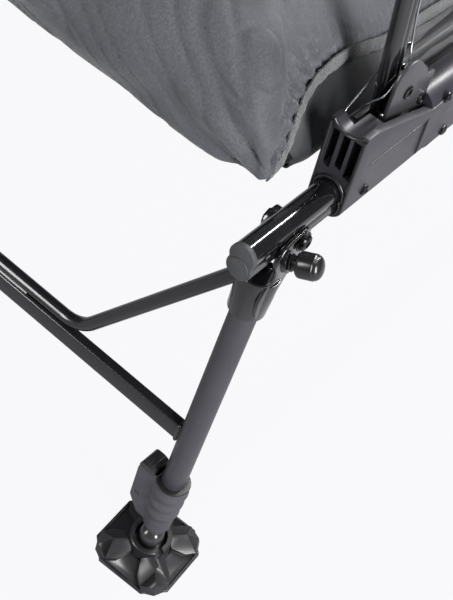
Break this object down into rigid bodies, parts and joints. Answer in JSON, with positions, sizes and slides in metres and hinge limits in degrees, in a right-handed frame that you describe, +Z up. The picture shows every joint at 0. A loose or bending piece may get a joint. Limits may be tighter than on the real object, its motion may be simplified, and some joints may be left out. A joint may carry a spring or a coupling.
{
  "type": "folding recliner fishing chair",
  "caption": "Low folding recliner for bank fishing: side rails on folding legs with sliding lower legs, clamps and swivelling mud feet, padded seat and back, armrests on ratcheted struts.",
  "frame": {"origin": "on the ground, in the middle of the chair's box", "axes": "+Z up, the sitter faces -Y, +X is the sitter's left"},
  "size_m": [0.6852, 0.8152, 1.1364],
  "materials": {
    "rail_black": "glossy black paint",
    "frame_black": "satin black paint",
    "plate_grey": "matte grey paint on steel plate",
    "casting_grey": "moulded, fine matte grain",
    "cap_grey": "matte dark grey moulding",
    "clamp_grey": "matte grey moulding",
    "knob_black": "glossy black moulding",
    "foot_black": "half-gloss black moulding",
    "bolt_steel": "darkened steel",
    "wire": "bright drawn wire",
    "sling_black": "satin weave",
    "cushion_grey": "woven face with light edge binding",
    "pad_foam": "moulded soft foam"
  },
  "bodies": {
    "base": {"side_rail_L": "rail_black", "rail_cap_front_L": "cap_grey", "rail_cap_rear_L": "cap_grey", "side_housing_L": "casting_grey", "catch_plate_L": "plate_grey", "back_hinge_L": "casting_grey", "side_rail_R": "rail_black", "rail_cap_front_R": "cap_grey", "rail_cap_rear_R": "cap_grey", "side_housing_R": "casting_grey", "catch_plate_R": "plate_grey", "back_hinge_R": "casting_grey", "pivot_bolt_front_L": "bolt_steel", "pivot_bolt_rear_L": "bolt_steel", "pivot_bolt_front_R": "bolt_steel", "pivot_bolt_rear_R": "bolt_steel", "seat_frame": "frame_black", "seat_sling": "sling_black", "seat_mattress": "cushion_grey"},
    "front_legs": {"front_leg_frame": "rail_black", "leg_bracket_front_L": "frame_black", "leg_clamp_front_L": "clamp_grey", "leg_bracket_front_R": "frame_black", "leg_clamp_front_R": "clamp_grey"},
    "rear_legs": {"rear_leg_frame": "rail_black", "leg_bracket_rear_L": "frame_black", "leg_clamp_rear_L": "clamp_grey", "leg_bracket_rear_R": "frame_black", "leg_clamp_rear_R": "clamp_grey"},
    "inner_leg_front_L": {"inner_leg_front_L": "frame_black"},
    "mud_foot_front_L": {"mud_foot_front_L": "foot_black"},
    "lock_knob_front_L": {"lock_knob_front_L": "knob_black"},
    "clamp_button_front_L": {"clamp_button_front_L": "knob_black"},
    "inner_leg_rear_L": {"inner_leg_rear_L": "frame_black"},
    "mud_foot_rear_L": {"mud_foot_rear_L": "foot_black"},
    "lock_knob_rear_L": {"lock_knob_rear_L": "knob_black"},
    "clamp_button_rear_L": {"clamp_button_rear_L": "knob_black"},
    "inner_leg_front_R": {"inner_leg_front_R": "frame_black"},
    "mud_foot_front_R": {"mud_foot_front_R": "foot_black"},
    "lock_knob_front_R": {"lock_knob_front_R": "knob_black"},
    "clamp_button_front_R": {"clamp_button_front_R": "knob_black"},
    "inner_leg_rear_R": {"inner_leg_rear_R": "frame_black"},
    "mud_foot_rear_R": {"mud_foot_rear_R": "foot_black"},
    "lock_knob_rear_R": {"lock_knob_rear_R": "knob_black"},
    "clamp_button_rear_R": {"clamp_button_rear_R": "knob_black"},
    "backrest": {"back_frame": "frame_black", "back_sling": "sling_black", "back_mattress": "cushion_grey"},
    "strut_L": {"strut_L": "frame_black", "release_cable_L": "wire"},
    "lock_pawl_L": {"lock_pawl_L": "bolt_steel"},
    "armrest_L": {"armrest_frame_L": "frame_black", "armrest_pad_L": "pad_foam"},
    "release_lever_L": {"release_lever_L": "knob_black"},
    "strut_R": {"strut_R": "frame_black", "release_cable_R": "wire"},
    "lock_pawl_R": {"lock_pawl_R": "bolt_steel"},
    "armrest_R": {"armrest_frame_R": "frame_black", "armrest_pad_R": "pad_foam"},
    "release_lever_R": {"release_lever_R": "knob_black"}
  },
  "joints": [
    {"name": "front_legs_fold", "type": "hinge", "parent": "base", "child": "front_legs", "pos_m": [0, -0.3175, 0.41], "axis": [1, 0, 0], "range_deg": [0, 74]},
    {"name": "rear_legs_fold", "type": "hinge", "parent": "base", "child": "rear_legs", "pos_m": [0, 0.3175, 0.41], "axis": [1, 0, 0], "range_deg": [-74, 0]},
    {"name": "backrest_recline", "type": "hinge", "parent": "base", "child": "backrest", "pos_m": [0, 0.081, 0.525], "axis": [1, 0, 0], "range_deg": [-35, 78]},
    {"name": "armrest_L_level", "type": "hinge", "parent": "backrest", "child": "armrest_L", "pos_m": [0.2735, 0.07272, 0.61964], "axis": [1, 0, 0], "range_deg": [-78, 35]},
    {"name": "strut_L_swing", "type": "hinge", "parent": "base", "child": "strut_L", "pos_m": [0.2923, -0.22, 0.456], "axis": [1, 0, 0], "range_deg": [-21, 46.8], "deforming": ["release_cable_L"]},
    {"name": "release_lever_L_press", "type": "hinge", "parent": "armrest_L", "child": "release_lever_L", "pos_m": [0.2843, -0.29, 0.664], "axis": [1, 0, 0], "range_deg": [0, 12], "stiffness_Nm_per_rad": 0.5, "springref_deg": -1.15},
    {"name": "lock_pawl_L_lift", "type": "slide", "parent": "base", "child": "lock_pawl_L", "axis": [0, 0, -1], "range_m": [0, 0.006]},
    {"name": "armrest_R_level", "type": "hinge", "parent": "backrest", "child": "armrest_R", "pos_m": [-0.2735, 0.07272, 0.61964], "axis": [1, 0, 0], "range_deg": [-78, 35]},
    {"name": "strut_R_swing", "type": "hinge", "parent": "base", "child": "strut_R", "pos_m": [-0.2923, -0.22, 0.456], "axis": [1, 0, 0], "range_deg": [-21, 46.8], "deforming": ["release_cable_R"]},
    {"name": "release_lever_R_press", "type": "hinge", "parent": "armrest_R", "child": "release_lever_R", "pos_m": [-0.2843, -0.29, 0.664], "axis": [1, 0, 0], "range_deg": [0, 12], "stiffness_Nm_per_rad": 0.5, "springref_deg": -1.15},
    {"name": "lock_pawl_R_lift", "type": "slide", "parent": "base", "child": "lock_pawl_R", "axis": [0, 0, -1], "range_m": [0, 0.006]},
    {"name": "inner_leg_front_L_extend", "type": "slide", "parent": "front_legs", "child": "inner_leg_front_L", "axis": [0, 0.0858, 0.9963], "range_m": [-0.12, 0]},
    {"name": "mud_foot_front_L_tilt", "type": "hinge", "parent": "inner_leg_front_L", "child": "mud_foot_front_L", "pos_m": [0.3, -0.365, 0.027], "axis": [1, 0, 0], "range_deg": [-12, 12]},
    {"name": "lock_knob_front_L_pull", "type": "slide", "parent": "front_legs", "child": "lock_knob_front_L", "axis": [0.9149, 0.2281, 0.333], "range_m": [0, 0.006], "stiffness_N_per_m": 400, "springref_m": -0.002},
    {"name": "clamp_button_front_L_press", "type": "hinge", "parent": "front_legs", "child": "clamp_button_front_L", "pos_m": [0.2756, -0.36056, 0.07861], "axis": [0, 0.9963, -0.0858], "range_deg": [0, 2.5], "stiffness_Nm_per_rad": 1, "springref_deg": -2.86},
    {"name": "inner_leg_rear_L_extend", "type": "slide", "parent": "rear_legs", "child": "inner_leg_rear_L", "axis": [0, 0.0858, -0.9963], "range_m": [0, 0.12]},
    {"name": "mud_foot_rear_L_tilt", "type": "hinge", "parent": "inner_leg_rear_L", "child": "mud_foot_rear_L", "pos_m": [0.3, 0.365, 0.027], "axis": [1, 0, 0], "range_deg": [-12, 12]},
    {"name": "lock_knob_rear_L_pull", "type": "slide", "parent": "rear_legs", "child": "lock_knob_rear_L", "axis": [0.9149, -0.2281, 0.333], "range_m": [0, 0.006], "stiffness_N_per_m": 400, "springref_m": -0.002},
    {"name": "clamp_button_rear_L_press", "type": "hinge", "parent": "rear_legs", "child": "clamp_button_rear_L", "pos_m": [0.2756, 0.36056, 0.07861], "axis": [0, 0.9963, 0.0858], "range_deg": [0, 2.5], "stiffness_Nm_per_rad": 1, "springref_deg": -2.86},
    {"name": "inner_leg_front_R_extend", "type": "slide", "parent": "front_legs", "child": "inner_leg_front_R", "axis": [0, 0.0858, 0.9963], "range_m": [-0.12, 0]},
    {"name": "mud_foot_front_R_tilt", "type": "hinge", "parent": "inner_leg_front_R", "child": "mud_foot_front_R", "pos_m": [-0.3, -0.365, 0.027], "axis": [1, 0, 0], "range_deg": [-12, 12]},
    {"name": "lock_knob_front_R_pull", "type": "slide", "parent": "front_legs", "child": "lock_knob_front_R", "axis": [-0.9149, 0.2281, 0.333], "range_m": [0, 0.006], "stiffness_N_per_m": 400, "springref_m": -0.002},
    {"name": "clamp_button_front_R_press", "type": "hinge", "parent": "front_legs", "child": "clamp_button_front_R", "pos_m": [-0.2756, -0.36056, 0.07861], "axis": [0, -0.9963, 0.0858], "range_deg": [0, 2.5], "stiffness_Nm_per_rad": 1, "springref_deg": -2.86},
    {"name": "inner_leg_rear_R_extend", "type": "slide", "parent": "rear_legs", "child": "inner_leg_rear_R", "axis": [0, 0.0858, -0.9963], "range_m": [0, 0.12]},
    {"name": "mud_foot_rear_R_tilt", "type": "hinge", "parent": "inner_leg_rear_R", "child": "mud_foot_rear_R", "pos_m": [-0.3, 0.365, 0.027], "axis": [1, 0, 0], "range_deg": [-12, 12]},
    {"name": "lock_knob_rear_R_pull", "type": "slide", "parent": "rear_legs", "child": "lock_knob_rear_R", "axis": [-0.9149, -0.2281, 0.333], "range_m": [0, 0.006], "stiffness_N_per_m": 400, "springref_m": -0.002},
    {"name": "clamp_button_rear_R_press", "type": "hinge", "parent": "rear_legs", "child": "clamp_button_rear_R", "pos_m": [-0.2756, 0.36056, 0.07861], "axis": [0, -0.9963, -0.0858], "range_deg": [0, 2.5], "stiffness_Nm_per_rad": 1, "springref_deg": -2.86}
  ],
  "couplings": [
    {"joint": "armrest_L_level", "follows": "backrest_recline", "ratio": -1},
    {"joint": "strut_L_swing", "follows": "backrest_recline", "ratio": 0.6},
    {"joint": "lock_pawl_L_lift", "follows": "release_lever_L_press", "m_per_rad": 0.0286},
    {"joint": "armrest_R_level", "follows": "backrest_recline", "ratio": -1},
    {"joint": "strut_R_swing", "follows": "backrest_recline", "ratio": 0.6},
    {"joint": "lock_pawl_R_lift", "follows": "release_lever_R_press", "m_per_rad": 0.0286}
  ]
}
